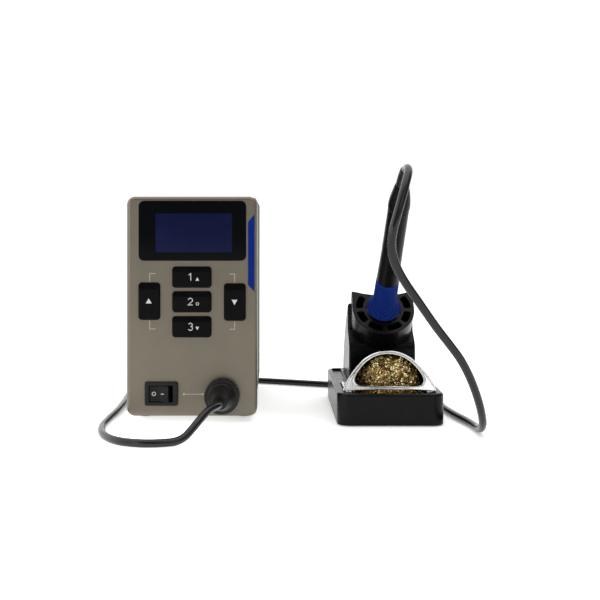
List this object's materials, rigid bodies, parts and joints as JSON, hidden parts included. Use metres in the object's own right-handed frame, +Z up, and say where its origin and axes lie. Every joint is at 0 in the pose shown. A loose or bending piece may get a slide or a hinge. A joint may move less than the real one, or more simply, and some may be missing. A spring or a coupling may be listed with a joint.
{
  "type": "soldering iron station",
  "caption": "Bench soldering station: control unit with display, keys and power rocker, stand with brass-wool tip cleaner, and corded iron resting in its holder",
  "frame": {"origin": "on the table under the middle of the box around the station, stand and iron, the free cable left out", "axes": "+Z up, +Y from the front panel to the rear, +X to the right seen from the front"},
  "size_m": [0.2478, 0.3252, 0.1677],
  "materials": {
    "bezel": "fine matt taupe moulding",
    "window": "glossy black lens",
    "lcd": "dark blue unlit display",
    "keys": null,
    "mat": "milky silicone",
    "pcb": "green solder mask",
    "accent": "satin blue strip",
    "switch": "black thermoplastic",
    "steel": "plain bright steel",
    "knurl": "moulded black with ribs",
    "rubber": "matt black rubber",
    "cover": "light grey powder coat",
    "rear": "black powder coat",
    "core": "varnished laminations",
    "copper": "enamelled copper winding",
    "stand": "satin black moulding",
    "guard": "polished stainless steel",
    "wool": "bright curled brass ribbon",
    "grip": "blue soft grip with fine ridges",
    "handle": "satin black moulding",
    "ceramic": "white ceramic",
    "tip": "copper tip, tinned end",
    "cable": "matt black silicone cable"
  },
  "bodies": {
    "root": {"front_bezel": "bezel", "display_window": "window", "lcd_module": "lcd", "key_mat": "mat", "control_board": "pcb", "accent_strip": "accent", "switch_frame": "switch", "output_socket": "steel", "socket_nut": "steel", "plug_shell": "knurl", "plug_boot": "rubber", "housing_cover": "cover", "chassis_base": "steel", "rear_panel": "rear", "rear_screw_1": "steel", "rear_screw_2": "steel", "rear_screw_3": "steel", "rear_screw_4": "steel", "station_foot_1": "rubber", "station_foot_2": "rubber", "station_foot_3": "rubber", "station_foot_4": "rubber", "transformer_core": "core", "transformer_coil": "copper", "power_board": "pcb", "mains_inlet": "switch", "stand_base": "stand", "stand_bottom_plate": "steel", "stand_foot_1": "rubber", "stand_foot_2": "rubber", "stand_foot_3": "rubber", "stand_foot_4": "rubber", "tower_screw_1": "steel", "tower_screw_2": "steel", "stand_tower": "stand", "holder_tube": "steel", "cable_behind_stand": "cable", "cable_coil": "cable", "cable_to_plug": "cable"},
    "iron": {"iron_tip": "tip", "heater_barrel": "steel", "heater_core": "ceramic", "iron_collar": "steel", "iron_grip": "grip", "iron_handle": "handle", "handle_board": "pcb", "handle_end_cap": "handle", "strain_relief": "rubber", "cable_hanging": "cable"},
    "cleaner": {"wool_tray": "stand", "brass_wool": "wool", "wool_guard": "guard"},
    "key_1": {"key_preset_1": "keys"},
    "key_2": {"key_preset_2": "keys"},
    "key_3": {"key_preset_3": "keys"},
    "key_plus": {"key_up": "keys"},
    "key_minus": {"key_down": "keys"},
    "power_rocker": {"rocker": "switch"},
    "lock_ring": {"plug_ring": "knurl"},
    "fuse_holder": {"fuse_drawer": "switch"}
  },
  "joints": [
    {"name": "iron_out", "type": "slide", "parent": "root", "child": "iron", "axis": [0, -0.7547, 0.6561], "range_m": [0, 0.08]},
    {"name": "cleaner_lift", "type": "slide", "parent": "root", "child": "cleaner", "axis": [0, 0, 1], "range_m": [0, 0.012]},
    {"name": "key_1_press", "type": "slide", "parent": "root", "child": "key_1", "axis": [0, 1, 0], "range_m": [0, 0.001], "stiffness_N_per_m": 600},
    {"name": "key_2_press", "type": "slide", "parent": "root", "child": "key_2", "axis": [0, 1, 0], "range_m": [0, 0.001], "stiffness_N_per_m": 600},
    {"name": "key_3_press", "type": "slide", "parent": "root", "child": "key_3", "axis": [0, 1, 0], "range_m": [0, 0.001], "stiffness_N_per_m": 600},
    {"name": "key_up_press", "type": "slide", "parent": "root", "child": "key_plus", "axis": [0, 1, 0], "range_m": [0, 0.001], "stiffness_N_per_m": 600},
    {"name": "key_down_press", "type": "slide", "parent": "root", "child": "key_minus", "axis": [0, 1, 0], "range_m": [0, 0.001], "stiffness_N_per_m": 600},
    {"name": "rocker_tilt", "type": "hinge", "parent": "root", "child": "power_rocker", "pos_m": [-0.0823, -0.03822, 0.0194], "axis": [0, 0, 1], "range_deg": [0, 24]},
    {"name": "ring_turn", "type": "hinge", "parent": "root", "child": "lock_ring", "pos_m": [-0.0411, -0.04662, 0.0183], "axis": [0, -1, 0], "range_deg": [0, 540]},
    {"name": "fuse_pull", "type": "slide", "parent": "root", "child": "fuse_holder", "axis": [0, 1, 0], "range_m": [0, 0.018]}
  ]
}
